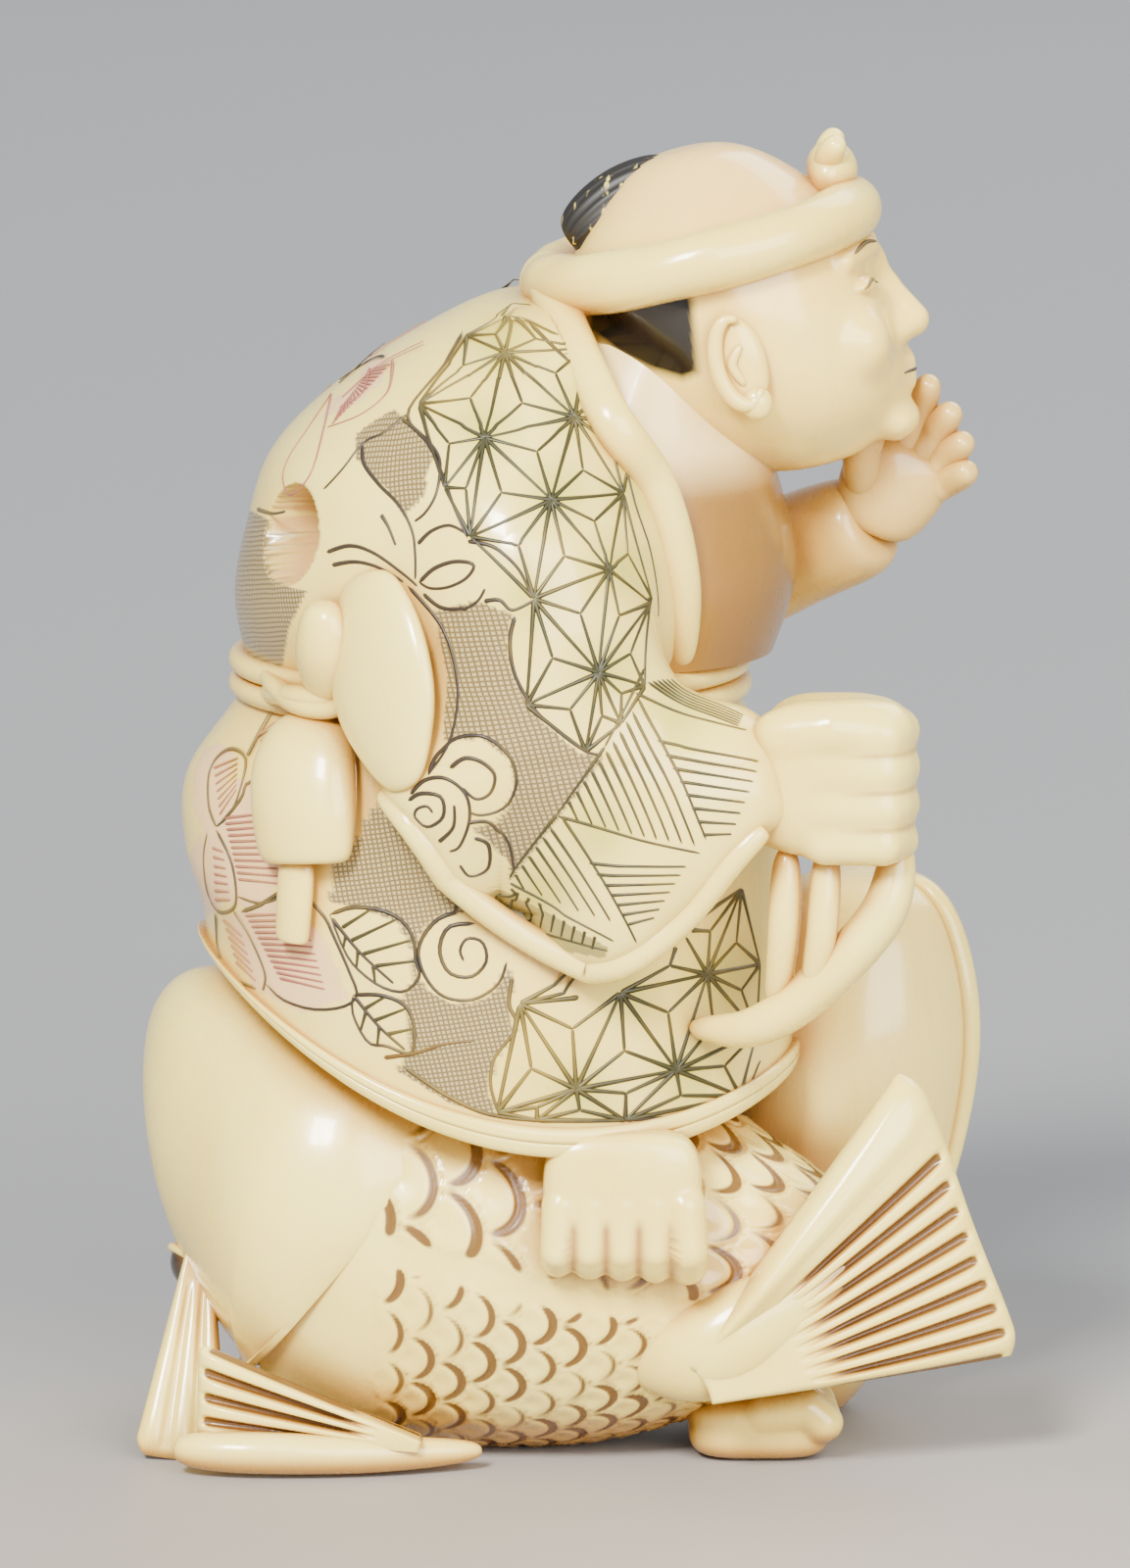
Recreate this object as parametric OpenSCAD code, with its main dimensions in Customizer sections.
// Carved netsuke: a fisherman in a patterned robe sits astride a large sea bream.
// +X is the way the man faces, -Y is the viewer's side, +Z is up.
// The origin is on the resting plane, under the middle of the carving.

/* [Fish] */
// Length of the scaled body, gill line to tail root
fish_len = 19.5; // [17:0.5:22]
// Depth of the body at the gill line
fish_h = 16.6; // [15:0.2:18.4]
// Thickness of the body at the gill line
fish_t = 14.4; // [12.5:0.1:16]
// Height by which the gill cover stands proud of the scales
gill_step = 0.4; // [0.2:0.1:0.8]
// Length of the smooth head, gill line to snout
snout_len = 9.5; // [8:0.1:11]
// Diameter of the inlaid dark eyes
fish_eye_d = 2.2; // [1.6:0.1:2.8]
// Length of the tail fin along its upper ray
tail_len = 15.4; // [13:0.2:17]
// Thickness of the tail fin at its root
tail_t = 1.8; // [1.4:0.1:2.4]
// Number of carved rays in the tail fin
tail_rays = 9; // [6:1:11]
// Length of the pectoral fins along their longest ray
pectoral_len = 10; // [8:0.2:11.5]
// Thickness of the pectoral fins at their roots
pectoral_t = 1.4; // [1:0.1:1.8]
// Number of carved rays in a pectoral fin
pectoral_rays = 5; // [3:1:7]
// Thickness of a fin at its tip
fin_tip_t = 0.8; // [0.6:0.1:1]
// Depth of the grooves between fin rays
ray_depth = 0.22; // [0.1:0.02:0.3]

/* [Robe] */
// Length of the skirt, front to back
skirt_w = 21.4; // [20:0.2:23]
// Thickness of the skirt, side to side
skirt_t = 18.8; // [17.4:0.2:20]
// Rise of the waist above the fish's back
skirt_rise = 11; // [10:0.2:12]
// Drop of the hem below the fish's back, at the flank
hem_drop = 4.8; // [4:0.1:5.6]
// Width of the plain band along the hem
hem_band_w = 1.1; // [0.7:0.1:1.6]
// Height by which the hem band stands proud of the skirt
hem_proud = 0.3; // [0.15:0.05:0.5]
// Length of the waist, front to back
waist_w = 17; // [15.6:0.2:18]
// Thickness of the waist, side to side
waist_t = 15.6; // [14:0.2:17]
// Length of the upper robe, chest to back
torso_w = 17.8; // [16:0.2:19.4]
// Thickness of the upper robe, shoulder to shoulder
torso_t = 19.4; // [17.6:0.2:21]
// Height of the upper robe, waist to nape
torso_h = 13.4; // [12.2:0.2:14.6]
// Width of the collar band
collar_w = 1.5; // [1:0.1:2]
// Thickness of the collar band
collar_t = 1; // [0.8:0.1:1.4]

/* [Cord holes] */
// Diameter of the cord hole on the viewer's side
cord_hole_d = 3.4; // [2.6:0.1:4]
// Diameter of the smaller cord hole on the far side
small_hole_d = 2.8; // [2.2:0.1:3.4]
// Height of the cord holes above the waist
cord_hole_rise = 5.6; // [4.8:0.1:6.4]
// Angle of each cord hole from straight back
cord_hole_angle = 38; // [32:1:44]

/* [Arms and hands] */
// Width of the upper sleeve
sleeve_d = 8.4; // [7.6:0.1:9.2]
// Height of the hanging cuff at its deepest
cuff_d = 11; // [9.6:0.1:12]
// Reach of the cuff from elbow to wrist
cuff_len = 9; // [8.2:0.1:9.8]
// Length of the fist, wrist to knuckles
fist_len = 4.6; // [4:0.1:5.2]
// Diameter of a finger
finger_d = 1.35; // [1.2:0.05:1.5]
// Diameter of the far forearm at the wrist
forearm_d = 3.8; // [3.4:0.1:4.4]
// Length of the far hand, wrist to fingertips
hand_len = 6.2; // [5.4:0.1:7]
// Diameter of the rope held in the fist
rope_d = 1.9; // [1.5:0.1:2.2]

/* [Head] */
// Depth of the head, brow to nape
head_len = 11; // [10.2:0.1:11.8]
// Width of the head, temple to temple
head_w = 10; // [9:0.1:11]
// Height of the head, chin to crown
head_h = 12; // [11.2:0.1:12.8]
// Backward tilt of the head
head_tilt = 14; // [10:1:18]
// Diameter of the rolled headband
band_d = 2.2; // [1.8:0.1:2.6]
// Diameter of the bound hair on the crown
topknot_d = 2.4; // [1.8:0.1:3]
// Height of an ear
ear_h = 3.6; // [3:0.1:4.2]

/* [Legs and feet] */
// Width of the raised knee under its cloth
knee_d = 9; // [8:0.1:9.8]
// Length of a foot, ankle to toe tips
foot_len = 6; // [5.2:0.1:6.8]
// Width of a foot across its toes
foot_w = 6; // [5.4:0.1:6.6]

/* [Belt pieces] */
// Diameter of the belt cord
belt_cord_d = 1.2; // [0.9:0.05:1.5]
// Diameter of the pipe case
pipe_case_d = 2.6; // [2.2:0.1:3]
// Length of the pipe case above the belt
pipe_case_len = 3.2; // [2.6:0.1:4]
// Width of the tobacco pouch
pouch_w = 4.2; // [3.6:0.1:4.8]
// Length of the tobacco pouch below the belt
pouch_len = 5; // [4.2:0.1:5.8]
// Thickness of the tobacco pouch
pouch_t = 2.2; // [1.8:0.1:2.6]

/* [Hidden] */

// Sides and rings of a large form, a middling one and a small one
large = [22, 11];
middling = [16, 8];
small = [8, 5];

// Places and heights that the pieces share
gill_x = -9;
robe_x = -3.1;
flat_cut = 0.35;
waist_z = fish_h + skirt_rise;
nape_z = waist_z + torso_h;
hem_z = fish_h - hem_drop;

ivory = [0.93, 0.89, 0.77];
warm_ivory = [0.89, 0.78, 0.62];
ink = [0.2, 0.18, 0.16];

// HELPERS

function xyz(row) = [row[0], row[1], row[2]];
function unit(v) = v / norm(v);
function mix(a, b, t) = a + (b - a) * t;
function mirrored(points) = [for (p = points) [p[0], -p[1], p[2]]];
function catmull(p, q, r, s, u) =
  0.5 * (2 * q + (r - p) * u + (2 * p - 5 * q + 4 * r - s) * u * u + (3 * q - p - 3 * r + s) * u * u * u);

// The value of a smooth curve through the rows, at a share t of its length
function along(rows, t) =
  let (
    spans = len(rows) - 1,
    i = min(spans - 1, floor(t * spans)),
    u = t * spans - i
  )
  catmull(rows[max(i - 1, 0)], rows[i], rows[i + 1], rows[min(i + 2, spans)], u);

// How far a section has closed at a share t: an end's power rounds it, and 0 leaves it flat
function closing(t, ends) =
  let (power = t < 0.5 ? ends[0] : ends[1])
  power == 0 ? 1 : pow(max(0, 1 - pow(abs(2 * t - 1), power)), 1 / power);

// One elliptical section, turned about the spine by roll
function section(centre, side, top, half_side, half_top, roll, sides) =
  [for (k = [0:sides - 1])
    let (
      a = 360 * k / sides,
      across = half_side * cos(a),
      upward = half_top * sin(a)
    )
    centre + side * (across * cos(roll) - upward * sin(roll)) + top * (across * sin(roll) + upward * cos(roll))];

// Rings of a loft through rows of [x, y, z, half side, half top, roll], cosine spaced
// They stand square to the spine, or all to the one axis that is given
function loft_rings(rows, up, mesh, ends, axis = undef) =
  let (step = 0.01)
  [for (j = [0:mesh[1]])
    let (
      t = (1 - cos(180 * j / mesh[1])) / 2,
      row = along(rows, t),
      run = xyz(along(rows, min(1, t + step))) - xyz(along(rows, max(0, t - step))),
      heading = is_undef(axis) ? unit(run) : axis,
      side = unit(cross(up, heading)),
      top = cross(heading, side),
      close = closing(t, ends)
    )
    if (close > 0.001) section(xyz(row), side, top, row[3] * close, row[4] * close, row[5], mesh[0])];

// Triangles between each ring and the next; the rings may close on themselves
function ring_faces(sides, count, spans) =
  [for (j = [0:spans - 1], k = [0:sides - 1])
    let (
      a = j * sides + k,
      b = j * sides + (k + 1) % sides,
      c = (j + 1) % count * sides + k,
      d = (j + 1) % count * sides + (k + 1) % sides
    )
    each [[a, c, b], [b, c, d]]];

// Closed skin over rings, with a pole point at each end
module skin(rings, start, finish) {
  sides = len(rings[0]);
  count = len(rings);
  pole = count * sides;
  polyhedron(concat([for (r = rings) each r], [start, finish]), concat(
    [for (k = [0:sides - 1]) [pole, k, (k + 1) % sides]],
    ring_faces(sides, count, count - 1),
    [for (k = [0:sides - 1]) [pole + 1, pole - sides + (k + 1) % sides, pole - sides + k]]
  ));
}

// Skin over rings that follow one another round a closed loop
module hoop(rings)
  polyhedron([for (r = rings) each r], ring_faces(len(rings[0]), len(rings), len(rings)));

// Loft through rows; ends gives the rounding power of its start and finish
module loft(rows, up, mesh = small, ends = [2, 2], axis = undef)
  skin(loft_rings(rows, up, mesh, ends, axis), xyz(rows[0]), xyz(rows[len(rows) - 1]));

// Rounded tube through points, with its own diameter at each end
module tube(points, d_start, d_finish, up, mesh = small, ends = [2.5, 2.5])
  let (last = len(points) - 1)
  loft([for (i = [0:last])
    let (r = mix(d_start, d_finish, i / last) / 2)
    concat(points[i], [r, r, 0])], up, mesh, ends);

// Closed slab between a front grid and a back grid of points
module slab(front, back) {
  m = len(front) - 1;
  n = len(front[0]) - 1;
  w = n + 1;
  h = w * (m + 1);
  polyhedron(concat([for (r = front) each r], [for (r = back) each r]), concat(
    [for (j = [0:m - 1], i = [0:n - 1])
      let (a = j * w + i, b = a + h)
      each [[a, a + 1, a + w], [a + 1, a + w + 1, a + w], [b, b + w, b + 1], [b + 1, b + w, b + w + 1]]],
    [for (i = [0:n - 1])
      let (a = i, b = m * w + i)
      each [[a, a + h, a + 1], [a + 1, a + h, a + h + 1], [b, b + 1, b + h], [b + 1, b + h + 1, b + h]]],
    [for (j = [0:m - 1])
      let (a = j * w, b = a + n)
      each [[a, a + w, a + h], [a + w, a + w + h, a + h], [b, b + h, b + w], [b + w, b + h, b + w + h]]]
  ));
}

// Ribbed fin in the plane of u and w: rays fan out from a hub, from the first angle to the last
// reach holds the radius of the root and of the first and last rays, and fork shortens the middle rays
module fin(hub, u, w, angles, reach, fork, rays, root_t, curl) {
  n = unit(cross(u, w));
  steps = rays * 3;
  spans = 3;
  function face(sign) =
    [for (j = [0:spans])
      [for (i = [0:steps])
        let (
          s = j / spans,
          v = i / steps,
          a = mix(angles[0], angles[1], v),
          r = mix(reach[0], mix(reach[1], reach[2], v) * (1 - fork * sin(180 * v)), s),
          thick = mix(root_t, fin_tip_t, s) / 2 - ray_depth * (1 + cos(360 * v * rays)) / 2
        )
        hub + (u * cos(a) + w * sin(a)) * r + n * (sign * thick + curl * s * s)]];
  slab(face(1), face(-1));
}

// The first form less all the others, as one skin of its own; the zeros leave its size alone
module carved()
  resize([0, 0, 0])
    difference() {
      children(0);
      children([1:$children - 1]);
    }

// Everything below the resting plane
module below_floor()
  translate([-50, -50, -100])
    cube(100);

// FISH

// Spine of the scaled body, gill line to tail root; the belly dips under the resting plane by flat_cut
function fish_rows() =
  let (t = fish_t / 2, h = fish_h / 2, z = h - flat_cut)
  [
    [gill_x, 0, z, t, h, 0],
    [gill_x + 0.2 * fish_len, -0.5, z - 0.1, t * 1.02, h * 0.98, 0],
    [gill_x + 0.4 * fish_len, -1, z - 0.7, t * 0.98, h * 0.9, 0],
    [gill_x + 0.6 * fish_len, -1.6, z - 1.3, t * 0.86, h * 0.76, 0],
    [gill_x + 0.8 * fish_len, -2.6, z - 1.3, t * 0.62, h * 0.54, 0],
    [gill_x + fish_len, -3.6, z - 2, t * 0.3, h * 0.32, 0]
  ];

module fish_body_form()
  loft(fish_rows(), [0, 0, 1], large, [0, 5]);

module fish_body()
  color(ivory) difference() {
    fish_body_form();
    below_floor();
  }

// The head turns away from the viewer and looks down; its gill edge stands proud of the scales
gill_lift = 2.8;
function head_rows() =
  let (
    t = fish_t / 2 + gill_step,
    h = (fish_h - gill_lift) / 2 + gill_step,
    z = gill_lift + h - gill_step,
    n = snout_len
  )
  [
    [gill_x + 0.4, 0, z, t, h, 0],
    [gill_x - 0.18 * n, 0.16 * n, z + 0.2, t * 0.65, h * 0.98, -14],
    [gill_x - 0.22 * n, 0.4 * n, z + 0.1, t * 0.44, h * 0.92, -30],
    [gill_x - 0.21 * n, 0.68 * n, z - 1.2, t * 0.33, h * 0.7, -28],
    [gill_x - 0.22 * n, 0.94 * n, z - 2.8, t * 0.3, h * 0.5, -14]
  ];

head_ends = [0, 2.4];
module fish_head_form()
  loft(head_rows(), [0, 0, 1], large, head_ends);

module fish_head()
  color(ivory) carved() {
    fish_head_form();
    fish_body_form();
    fish_eye_beads();
  }

// A point just under the head's skin: a share t along the head, at the angle a round its section
eye_sink = 0.9;
function under_head(t, a) =
  let (
    step = 0.01,
    row = along(head_rows(), t),
    heading = unit(xyz(along(head_rows(), t + step)) - xyz(along(head_rows(), t - step))),
    side = unit(cross([0, 0, 1], heading)),
    across = eye_sink * closing(t, head_ends) * row[3] * cos(a),
    upward = eye_sink * closing(t, head_ends) * row[4] * sin(a)
  )
  xyz(row) + side * (across * cos(row[5]) - upward * sin(row[5]))
    + cross(heading, side) * (across * sin(row[5]) + upward * cos(row[5]));

// The eyes are dark beads set in the outer and the inner side of the turned head
eye_places = [[0.27, -27], [0.8, 190]];
module fish_eye_beads()
  for (place = eye_places)
    translate(under_head(place[0], place[1])) sphere(d = fish_eye_d, $fn = 16);

module fish_eyes()
  color(ink) fish_eye_beads();

// The tail curls up on the viewer's side of the tail root
tail_hub = [gill_x + 0.59 * fish_len, -fish_t / 2, 2.5];
module tail_fin()
  color(ivory) carved() {
    fin(tail_hub, [1, 0, 0], [0, 0, 1], [7, 54], [3.4, 0.856 * tail_len, tail_len], 0.1, tail_rays, tail_t, -1.6);
    fish_body_form();
  }

// The near fin spreads forward along the ground, under a thick lowest ray
near_fin_hub = [-4.4, -7, 0.6];
module near_pectoral_fin()
  color(ivory) carved() {
    union() {
      fin(near_fin_hub, [1, 0, 0], [0, 0, 1], [156, 178], [1.6, pectoral_len, pectoral_len], 0.05,
        pectoral_rays, pectoral_t, -0.4);
      tube([
        near_fin_hub + [-0.9 * pectoral_len, 0.2, 0],
        near_fin_hub + [-0.4 * pectoral_len, 0, 0.1],
        near_fin_hub + [0.45 * pectoral_len, 0.8, 0.3]
      ], pectoral_t, pectoral_t * 0.8, [0, 0, 1]);
    }
    fish_body_form();
    fish_head_form();
    below_floor();
  }

// The far fin hangs under the cheek like a slat, with its rays down its length and its tip on the ground
far_fin_hub = [-13.2, 0.6, 9.4];
far_fin_down = unit([-0.08, -0.5, -0.86]);
far_fin_side = [-1, 0, 0.09];
far_fin_spread = 9;
far_fin_rays = 3;
module far_pectoral_fin()
  color(ivory) carved() {
    fin(far_fin_hub, far_fin_down, far_fin_side, [-far_fin_spread, far_fin_spread],
      [1.5, 1.07 * pectoral_len, 1.07 * pectoral_len], 0, far_fin_rays, pectoral_t, 0.3);
    fish_head_form();
    below_floor();
  }

// ROBE

// A point on a robe's skin: a is the angle from straight back, towards the viewer
function on_robe(rows, t, a) =
  let (row = along(rows, t))
  [row[0] - row[4] * cos(a), -row[3] * sin(a), row[2]];

// The outward heading at the same place
function off_robe(rows, t, a) =
  let (row = along(rows, t))
  unit([-cos(a) / row[4], -sin(a) / row[3], 0]);

// The hem rises towards the front and the back, as cloth does across a fish's back
hem_sag = 0.033;
hem_mid_x = 0.5;
function skirt_rows(proud = 0) =
  let (w = skirt_w / 2 + proud, t = skirt_t / 2 + proud)
  [
    [-2.8, 0, hem_z, t * 0.97, w * 0.97, 0],
    [-2.8, 0, mix(hem_z, waist_z, 0.25), t, w * 0.98, 0],
    [-3.2, 0, mix(hem_z, waist_z, 0.5), t, w, 0],
    [-3.3, 0, mix(hem_z, waist_z, 0.75), t * 0.94, w * 0.98, 0],
    [robe_x, 0, waist_z, waist_t / 2 + proud, waist_w / 2 + proud, 0]
  ];

// Lifts the points with the hem's sag, fully at the hem and not at all at the waist
function draped(ring) =
  [for (p = ring)
    let (left = (waist_z - p[2]) / (waist_z - hem_z))
    p + [0, 0, hem_sag * left * left * pow(p[0] - hem_mid_x, 2)]];

module skirt_form()
  skin([for (ring = loft_rings(skirt_rows(), [1, 0, 0], large, [0, 0], [0, 0, 1])) draped(ring)],
    xyz(skirt_rows()[0]), xyz(skirt_rows()[4]));

module skirt()
  color(ivory) carved() {
    skirt_form();
    fish_body_form();
    fish_head_form();
  }

// One draped ring of the skirt at a height z, standing proud of it
function hem_ring(z, proud) =
  let (row = along(skirt_rows(proud), (z - hem_z) / (waist_z - hem_z)))
  draped(section([row[0], row[1], z], [0, -1, 0], [1, 0, 0], row[3], row[4], 0, large[0]));

module hem_band()
  color(ivory) carved() {
    hoop([
      hem_ring(hem_z, hem_proud),
      hem_ring(hem_z + hem_band_w, hem_proud),
      hem_ring(hem_z + hem_band_w, 0),
      hem_ring(hem_z, 0)
    ]);
    fish_body_form();
    fish_head_form();
  }

function upper_robe_rows() =
  let (w = torso_w / 2, t = torso_t / 2)
  [
    [robe_x, 0, waist_z, waist_t / 2, waist_w / 2, 0],
    [robe_x - 0.1, 0, waist_z + 0.2 * torso_h, t * 0.96, w, 0],
    [robe_x, 0, waist_z + 0.4 * torso_h, t, w * 0.96, 0],
    [robe_x + 0.2, 0, waist_z + 0.6 * torso_h, t * 0.95, w * 0.87, 0],
    [robe_x + 1.2, 0, waist_z + 0.8 * torso_h, t * 0.76, w * 0.66, 0],
    [robe_x + 2.6, 0, nape_z, t * 0.46, w * 0.36, 0]
  ];

module upper_robe_form()
  loft(upper_robe_rows(), [1, 0, 0], large, [0, 6], [0, 0, 1]);

// Edge of the near lapel, nape to belt, as seen from the side
function lapel(t) =
  let (w = torso_w / 2)
  along([
    [robe_x + 0.2 * w, waist_z + 1.03 * torso_h],
    [robe_x + 0.39 * w, waist_z + 0.81 * torso_h],
    [robe_x + 0.58 * w, waist_z + 0.63 * torso_h],
    [robe_x + 0.7 * w, waist_z + 0.45 * torso_h],
    [robe_x + 0.75 * w, waist_z + 0.24 * torso_h],
    [robe_x + 0.74 * w, waist_z + 0.06 * torso_h]
  ], t);

// The space in front of the lapels, which the bare chest fills
module opening_form()
  rotate([90, 0, 0])
    linear_extrude(torso_t * 2, center = true)
      polygon(concat(
        [for (i = [0:10]) lapel(i / 10)],
        [[robe_x + torso_w, lapel(1)[1]], [robe_x + torso_w, nape_z + 4]]
      ));

// The two cord holes run in from the back and meet inside
module cord_bore(side, d)
  translate([robe_x, 0, waist_z + cord_hole_rise])
    rotate([0, 0, 180 - side * cord_hole_angle])
      rotate([0, 90, 0])
        cylinder(h = torso_w, d = d, $fn = 48);

module upper_robe()
  color(ivory) difference() {
    upper_robe_form();
    opening_form();
    cord_bore(-1, cord_hole_d);
    cord_bore(1, small_hole_d);
  }

function chest_rows() =
  let (x = lapel(1)[0], z = lapel(1)[1], h = waist_z + 0.89 * torso_h - z)
  [
    [x - 2.1, 0, z, 6.2, 5.5, 0],
    [x - 1.9, 0, z + 0.25 * h, 6.6, 6.1, 0],
    [x - 1.9, 0, z + 0.5 * h, 6.3, 5.6, 0],
    [x - 1.6, 0, z + 0.75 * h, 4.9, 4.4, 0],
    [x - 0.7, 0, z + h, 3.6, 3.2, 0]
  ];

module chest_form()
  loft(chest_rows(), [1, 0, 0], middling, [0, 0], [0, 0, 1]);

module chest()
  color(warm_ivory) intersection() {
    chest_form();
    opening_form();
  }

// A point on the robe's near side at the lapel's edge
function lapel_spot(t) =
  let (
    edge = lapel(t),
    row = along(upper_robe_rows(), min(0.97, (edge[1] - waist_z) / torso_h)),
    share = min(0.98, abs(edge[0] - row[0]) / row[4])
  )
  [edge[0], -row[3] * sqrt(1 - share * share), edge[1]];

// The collar runs up one lapel, behind the nape and down the other
function collar_rows() =
  let (
    near = [for (t = [1, 0.75, 0.5, 0.25]) lapel_spot(t) + [0, -0.15, 0.25]],
    nape = [robe_x + 1.9, 0, nape_z + 0.8],
    path = concat(near, [nape], mirrored([for (i = [3:-1:0]) near[i]]))
  )
  [for (i = [0:8])
    i == 4 ? concat(path[i], [collar_w / 2, collar_t / 2, 0]) : concat(path[i], [collar_t / 2, collar_w / 2, 0])];

module collar()
  color(ivory) carved() {
    loft(collar_rows(), [1, 0, 0], [8, 20], [4, 4]);
    upper_robe_form();
    chest_form();
  }

// ARMS AND HANDS

// Spine of the outer sleeve, shoulder to hanging tip, on the viewer's side
function sleeve_rows() =
  let (r = sleeve_d / 2, y = -torso_t / 2)
  [
    [-2.9, y + 4.4, nape_z - 0.24 * torso_h, r * 0.8, r * 0.72, 0],
    [-2.1, y + 3, nape_z - 0.45 * torso_h, r, r * 0.92, 0],
    [-1.6, y + 2.2, nape_z - 0.7 * torso_h, r, r, 0],
    [-1.8, y + 1.7, waist_z + 0.6, r * 0.95, r, 0],
    [-2.9, y + 1.3, waist_z - 3, r * 0.85, r * 0.98, 0],
    [-3.7, y + 1.2, waist_z - 6.6, r * 0.55, r * 0.6, 0]
  ];

module near_sleeve_form()
  loft(sleeve_rows(), [1, 0, 0], middling, [2.4, 3]);

module near_sleeve()
  color(ivory) carved() {
    near_sleeve_form();
    upper_robe_form();
    skirt_form();
  }

// The striped inner sleeve hangs open below the forearm
elbow = [-2.4, -torso_t / 2 + 1.1, waist_z - 4.1];
function cuff_rows() =
  let (n = cuff_len, r = cuff_d / 2)
  [
    [elbow[0], elbow[1], elbow[2], 2.2, r * 0.74, 0],
    [elbow[0] + 0.36 * n, elbow[1] - 0.2, elbow[2] - 0.5, 2.9, r, 0],
    [elbow[0] + 0.7 * n, elbow[1] - 0.2, elbow[2] + 0.7, 2.8, r * 0.72, 0],
    [elbow[0] + n, elbow[1], elbow[2] + 1.5, 2.2, r * 0.46, 0]
  ];
wrist = xyz(cuff_rows()[3]);

module near_cuff_form()
  loft(cuff_rows(), [0, 0, 1], middling, [2, 6]);

module near_cuff()
  color(ivory) carved() {
    near_cuff_form();
    near_sleeve_form();
    upper_robe_form();
    skirt_form();
  }

// The fist: a palm from the wrist, four curled fingers stacked at its knuckles and a thumb over the top
module near_fist()
  color(ivory) carved() {
    union() {
      loft([
        concat(wrist + [-0.6, 0, 0], [1.6, 2.2, 0]),
        concat(wrist + [0.45 * fist_len, 0.1, 0.1], [1.8, 2.5, 0]),
        concat(wrist + [fist_len - 0.4, 0.1, 0.2], [1.5, 2.3, 0])
      ], [0, 0, 1], [14, 8], [3, 3]);
      for (i = [0:3])
        translate(wrist + [0, 0, (1.5 - i) * finger_d * 0.97])
          tube([
            [0.5 * fist_len, -1.5, 0.1],
            [0.9 * fist_len, -1.6, 0.05],
            [fist_len, -0.2, 0],
            [0.85 * fist_len, 1.3, 0],
            [0.5 * fist_len, 1.4, 0]
          ], finger_d, finger_d * 0.9, [0, 0, 1], [8, 8]);
      tube([
        wrist + [0.3, -0.9, 1.9],
        wrist + [0.45 * fist_len, -1.3, 2 * finger_d - 0.3],
        wrist + [0.85 * fist_len, -0.8, 2 * finger_d - 0.4]
      ], finger_d * 1.1, finger_d * 0.9, [0, 1, 0]);
    }
    near_cuff_form();
  }

// The rope leaves the fist's lower edge, loops past the knee and comes to rest on the skirt
rope_top = wrist + [0.98 * fist_len, 0, -1.4 * finger_d];
rope_bend = rope_top + [-3.1, -0.4, -5.4];
function rope_end() = on_robe(skirt_rows(), 0.26, 130);
module rope_form()
  tube([
    rope_top,
    rope_top + [-0.6, -0.5, -2.6],
    rope_bend,
    mix(rope_bend, rope_end(), 0.5) + [0, -0.6, -0.5],
    rope_end()
  ], rope_d, rope_d * 0.6, [0, 1, 0], [10, 12]);

module rope_loop()
  color(ivory) carved() {
    rope_form();
    skirt_form();
  }

// Two loose strands fall from the heel of the fist to the rope
module rope_strands()
  color(ivory) carved() {
    for (i = [0:1])
      tube([
        wrist + [0.6 + i * 0.3 * fist_len, -0.4, -2.4],
        wrist + [0.5 + i * 0.34 * fist_len, -0.6, -5],
        mix(rope_bend, rope_end(), 0.3 - i * 0.3) + [0, -0.2, -0.2]
      ], rope_d * 0.6, rope_d * 0.5, [0, 1, 0]);
    rope_form();
    near_cuff_form();
  }

// The far arm is raised: its sleeve hangs from the shoulder and the bare forearm comes out in front
function far_sleeve_rows() =
  let (r = sleeve_d / 2, y = torso_t / 2)
  [
    [-2.4, y - 4.6, nape_z - 0.22 * torso_h, r * 0.8, r * 0.7, 0],
    [-0.8, y - 3, nape_z - 0.45 * torso_h, r, r * 0.95, 0],
    [0.8, y - 1.9, nape_z - 0.7 * torso_h, r, r, 0],
    [2.6, y - 2.4, waist_z + 0.8, r * 0.9, r, 0],
    [3.6, y - 3, waist_z - 2.6, r * 0.7, r * 0.8, 0]
  ];

module far_sleeve_form()
  loft(far_sleeve_rows(), [1, 0, 0], middling, [2.4, 3]);

module far_sleeve()
  color(ivory) carved() {
    far_sleeve_form();
    upper_robe_form();
    chest_form();
    skirt_form();
  }

far_elbow = xyz(far_sleeve_rows()[3]) + [1.6, -0.6, 0.4];
far_wrist = [10.5, 1.7, nape_z - 8.4];
module far_forearm_form()
  loft([
    concat(far_elbow, [forearm_d * 0.6, forearm_d * 0.6, 0]),
    concat(mix(far_elbow, far_wrist, 0.5) + [0, 0, 0.3], [forearm_d * 0.54, forearm_d * 0.54, 0]),
    concat(far_wrist, [forearm_d / 2, forearm_d * 0.46, 0])
  ], [0, 1, 0], [14, 8], [2, 5]);

module far_forearm()
  color(ivory) carved() {
    far_forearm_form();
    far_sleeve_form();
    chest_form();
  }

// The far hand is cupped beside the mouth: a broad palm, four fingers fanned forward and a thumb
module far_hand()
  color(ivory) carved() {
    union() {
      loft([
        concat(far_wrist + [-0.2, 0.1, -0.4], [forearm_d * 0.42, forearm_d * 0.34, 0]),
        concat(far_wrist + [0.6, 0, 0.22 * hand_len], [1.9, 1.05, 0]),
        concat(far_wrist + [1.3, 0, 0.44 * hand_len], [2, 0.9, 0])
      ], [0, 1, 0], [14, 8], [3, 3]);
      for (i = [0:3])
        let (
          a = 70 - 13 * i,
          tip = [cos(a), 0, sin(a)] * hand_len * (0.9 - 0.09 * i)
        )
        tube([
          far_wrist + tip * 0.4,
          far_wrist + tip * 0.75 + [0, -0.2, 0],
          far_wrist + tip + [0, -1.3, 0]
        ], finger_d, finger_d * 0.85, [0, 1, 0]);
      tube([
        far_wrist + [-0.4, -0.2, 0.16 * hand_len],
        far_wrist + [-0.5, -1, 0.42 * hand_len],
        far_wrist + [0.1, -1.6, 0.62 * hand_len]
      ], finger_d * 1.1, finger_d * 0.85, [0, 1, 0]);
    }
    far_forearm_form();
    head_form();
  }

// HEAD

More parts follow.
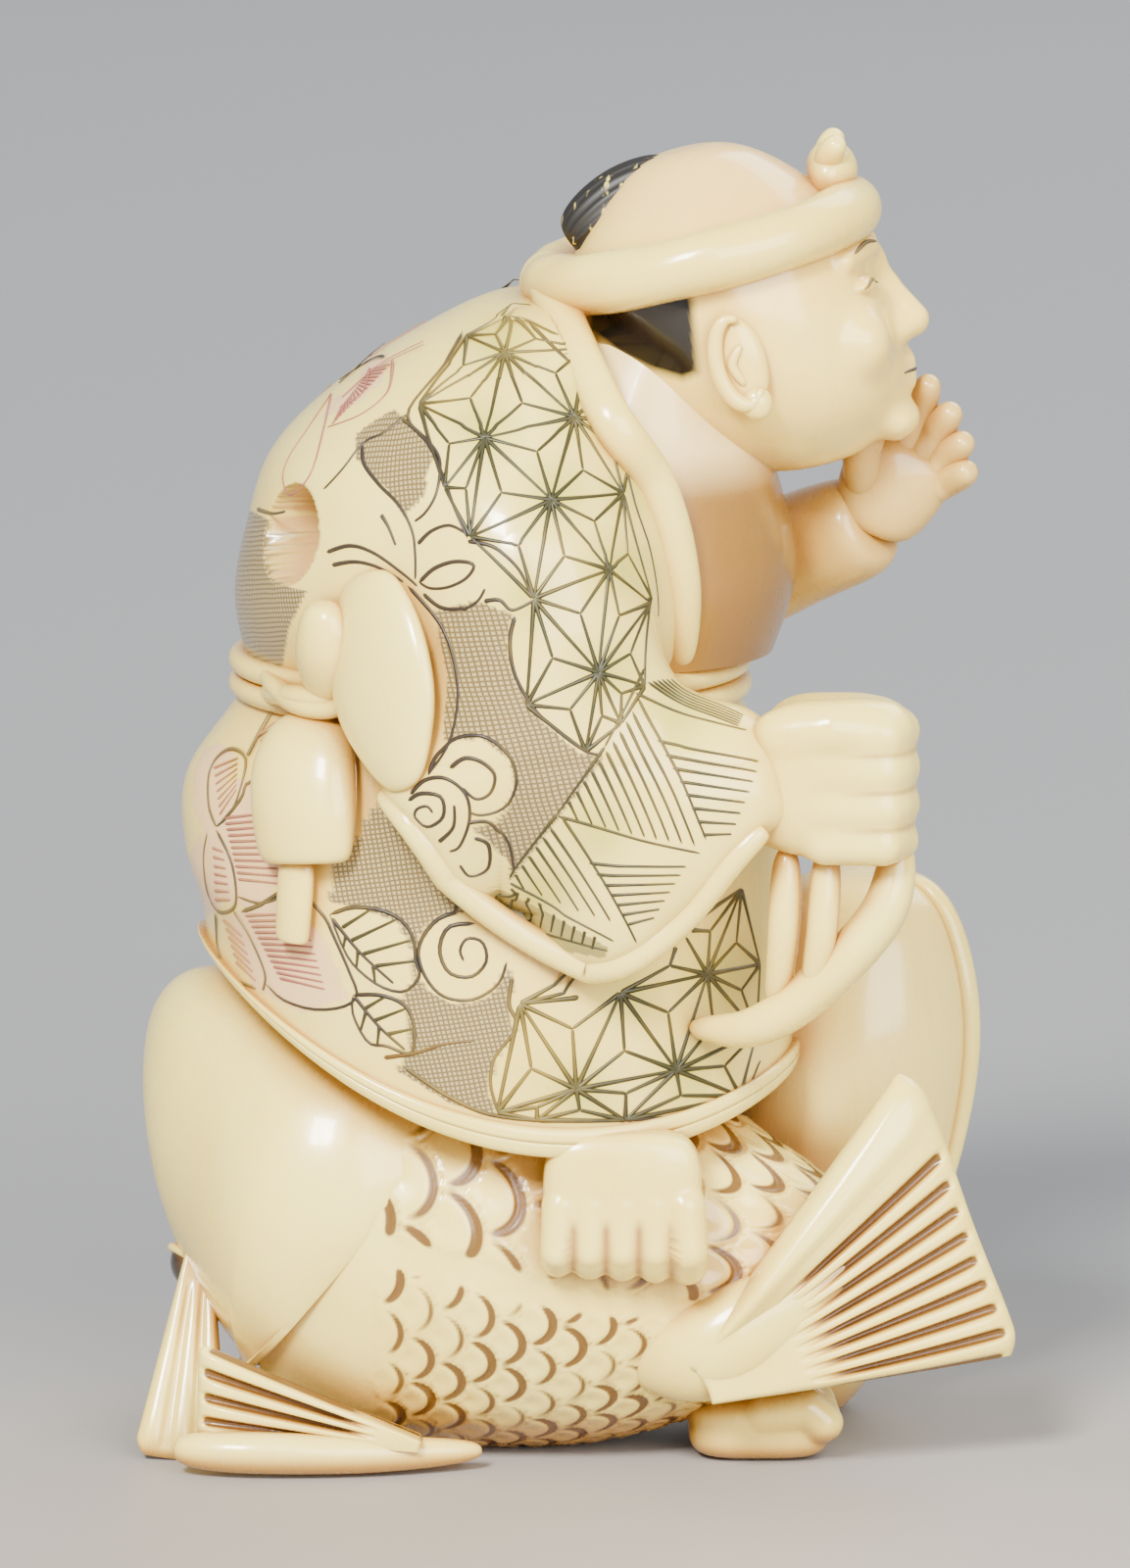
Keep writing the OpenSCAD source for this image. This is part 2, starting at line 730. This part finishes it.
// The head is made upright about its own middle, then tipped back
head_mid = [5.3, 0, nape_z - 0.7];
module tipped()
  translate(head_mid)
    rotate([0, -head_tilt, 0])
      children();

function skull_rows() =
  let (x = head_len / 2, y = head_w / 2, z = head_h / 2)
  [
    [0.34 * x, 0, -z, y * 0.42, x * 0.5, 0],
    [0.2 * x, 0, -0.72 * z, y * 0.76, x * 0.78, 0],
    [0.08 * x, 0, -0.36 * z, y * 0.95, x * 0.95, 0],
    [0, 0, 0.1 * z, y, x, 0],
    [-0.04 * x, 0, 0.56 * z, y * 0.96, x * 0.95, 0],
    [-0.06 * x, 0, z, y * 0.72, x * 0.72, 0]
  ];

module head_form()
  tipped()
    loft(skull_rows(), [1, 0, 0], large, [3, 2.4], [0, 0, 1]);

// Nose: a plain wedge on the middle third of the face
module nose()
  tipped()
    loft([
      [0.44 * head_len, 0, 0.08 * head_h, 0.5, 0.6, 0],
      [0.5 * head_len, 0, -0.04 * head_h, 0.7, 0.8, 0],
      [0.51 * head_len, 0, -0.15 * head_h, 1.1, 1, 0]
    ], [1, 0, 0]);

module neck()
  tube([head_mid + [-2.4, 0, -6.6], head_mid + [-1.4, 0, -2.5]], 6.4, 6, [1, 0, 0], [14, 4], [0, 0]);

module head()
  color(warm_ivory) carved() {
    union() {
      head_form();
      nose();
      neck();
    }
    chest_form();
  }

module ears()
  color(warm_ivory) carved() {
    tipped()
      for (side = [-1, 1])
        translate([0.02 * head_len, side * head_w * 0.5, -0.1 * head_h])
          rotate([0, -10, 0])
            loft([
              [0, 0, -ear_h / 2, 0.6, 0.6, 0],
              [0, side * 0.1, 0, 0.7, 1, 0],
              [-0.2, side * 0.2, ear_h / 2, 0.7, 1, 0]
            ], [1, 0, 0], [12, 7]);
    head_form();
  }

// A closed cord round an ellipse, lying in the level plane
function cord_rings(half_x, half_y, d, sides) =
  [for (a = [0:15:345])
    let (out = unit([cos(a) / half_x, sin(a) / half_y, 0]))
    [for (k = [0:sides - 1])
      let (b = 360 * k / sides)
      [half_x * cos(a), half_y * sin(a), 0] + out * (d / 2 * cos(b)) - [0, 0, d / 2 * sin(b)]]];

// The rolled headband rides on the brow and drops behind the crown
band_rise = 0.24;
function brow() = along(skull_rows(), 0.5 + band_rise);
module headband_form()
  tipped()
    translate([brow()[0] - 0.25, 0, brow()[2]])
      hoop(cord_rings(brow()[4] * 0.98 + 0.1, brow()[3] * 0.98 + 0.1, band_d, 8));

module headband()
  color(ivory) carved() {
    headband_form();
    head_form();
  }

// The knot over the brow, with its two short ends
module headband_knot()
  color(ivory) carved() {
    tipped()
      translate([brow()[0] + brow()[4] * 0.9, 0, brow()[2] + band_d * 0.5])
        union() {
          loft([
            [-0.4, -1.3, 0, 0.7, 0.8, 0],
            [0, 0, 0.4, 0.9, 1, 0],
            [-0.4, 1.3, 0, 0.7, 0.8, 0]
          ], [0, 0, 1]);
          for (side = [-1, 1])
            tube([[-0.2, side * 0.4, 0.2], [0, side * 0.8, 0.9], [0.5, side * 1.3, 1.5]], 1.1, 0.9, [0, 1, 0]);
        }
    headband_form();
    head_form();
  }

// The bound hair lies back along the crown and hangs over the band
module topknot()
  color(ink) carved() {
    tipped()
      tube([
        [-0.04 * head_len, 0, 0.42 * head_h],
        [-0.24 * head_len, 0, 0.385 * head_h],
        [-0.43 * head_len, 0, 0.3 * head_h]
      ], topknot_d, topknot_d * 1.1, [0, 1, 0], [12, 8]);
    head_form();
    headband_form();
  }

// LEGS AND FEET

// A bare foot from ankle to toes along +X, its sole down: side is +1 where the big toe is at +Y
module foot(side) {
  loft([
    [0, 0, 0.9, foot_w * 0.34, 1.3, 0],
    [0.4 * foot_len, 0, 0.5, foot_w * 0.43, 1.25, 0],
    [0.8 * foot_len, 0, 0, foot_w * 0.47, 0.9, 0]
  ], [0, 0, 1], [16, 8], [2.4, 3]);
  for (i = [0:4])
    let (
      y = side * (0.4 - 0.2 * i) * foot_w,
      d = foot_w * (i == 0 ? 0.24 : 0.2),
      tip = foot_len * (1 - 0.035 * i)
    )
    tube([[0.62 * foot_len, y * 0.92, 0], [0.85 * foot_len, y, 0.05], [tip, y, -0.2]], d, d, [0, 0, 1]);
}

// The near foot presses down along the fish's flank, below the hem
near_ankle = [gill_x + 0.54 * fish_len, -1.2 - fish_t / 2 * 0.94, hem_z + 0.8];
module near_foot()
  color(ivory) carved() {
    translate(near_ankle)
      rotate([0, 90, 0])
        rotate([90, 0, 0])
          foot(1);
    fish_body_form();
    skirt_form();
  }

// The far leg: a raised knee under cloth and the shin down to the ground
function far_leg_rows() =
  let (r = knee_d / 2, y = 4.2, top = hem_z + 7.8)
  [
    [10.2, y, top, r * 1.02, r * 0.94, 0],
    [10, y, 0.75 * top, r * 1.15, r * 1.02, 0],
    [9.5, y, 0.5 * top, r * 1.1, r * 0.96, 0],
    [8.8, y, 0.25 * top, r * 0.9, r * 0.8, 0],
    [7.8, y - 0.4, -0.3, r * 0.66, r * 0.66, 0]
  ];

module far_leg_form()
  loft(far_leg_rows(), [1, 0, 0], middling, [3, 3], [0, 0, -1]);

module far_leg()
  color(ivory) carved() {
    far_leg_form();
    skirt_form();
    fish_body_form();
    below_floor();
  }

// The far foot comes out under the tail, toes forward
far_ankle = [gill_x + 0.667 * fish_len, -2.4, 0.8];
module far_foot()
  color(ivory) carved() {
    translate(far_ankle)
      foot(-1);
    fish_body_form();
    far_leg_form();
    below_floor();
  }

// BELT PIECES

module belt_cord()
  color(ivory) carved() {
    translate([robe_x, 0, waist_z])
      hoop(cord_rings(waist_w / 2 + belt_cord_d * 0.33, waist_t / 2 + belt_cord_d * 0.33, belt_cord_d, 8));
    upper_robe_form();
    skirt_form();
    near_sleeve_form();
    far_sleeve_form();
  }

// Angle from straight back at which the belt's hangings sit
hang_angle = 55;

module pipe_case()
  let (
    foot = on_robe(upper_robe_rows(), 0.04, hang_angle),
    out = off_robe(upper_robe_rows(), 0.04, hang_angle),
    r = pipe_case_d / 2
  )
  color(ivory) carved() {
    loft([
      concat(foot + out * 0.6 * r, [r, r * 0.7, 0]),
      concat(foot + out * r + [0, 0, 0.6 * pipe_case_len], [r, r * 0.7, 0]),
      concat(foot + out * (r + 0.4) + [0, 0, pipe_case_len], [r * 0.9, r * 0.6, 0])
    ], out, [14, 7], [6, 4]);
    upper_robe_form();
  }

// A flat pouch that hangs against the skirt from the belt
pouch_rows_t = 0.86;
function pouch_spot(drop) =
  let (t = 1 - drop / (waist_z - hem_z))
  on_robe(skirt_rows(), t, hang_angle) + off_robe(skirt_rows(), t, hang_angle) * pouch_t * 0.3;

module pouch_form()
  let (out = off_robe(skirt_rows(), pouch_rows_t, hang_angle), w = pouch_w / 2, t = pouch_t / 2)
  loft([
    concat(pouch_spot(0.7), [w * 0.7, t * 0.8, 0]),
    concat(pouch_spot(0.7 + 0.33 * pouch_len), [w * 0.95, t, 0]),
    concat(pouch_spot(0.7 + 0.66 * pouch_len), [w, t, 0]),
    concat(pouch_spot(0.7 + pouch_len), [w * 0.9, t * 0.8, 0])
  ], out, [16, 9], [3, 4]);

module tobacco_pouch()
  color(ivory) carved() {
    pouch_form();
    skirt_form();
  }

module pouch_strap()
  color(ivory) carved() {
    tube([
      pouch_spot(pouch_len),
      pouch_spot(pouch_len + 1.8),
      pouch_spot(pouch_len + 3.2)
    ], 1.2, 1.4, off_robe(skirt_rows(), pouch_rows_t, hang_angle));
    pouch_form();
    skirt_form();
  }

fish_body();
fish_head();
fish_eyes();
tail_fin();
near_pectoral_fin();
far_pectoral_fin();
skirt();
hem_band();
upper_robe();
collar();
chest();
near_sleeve();
near_cuff();
near_fist();
rope_loop();
rope_strands();
far_sleeve();
far_forearm();
far_hand();
head();
ears();
headband();
headband_knot();
topknot();
near_foot();
far_leg();
far_foot();
belt_cord();
pipe_case();
tobacco_pouch();
pouch_strap();
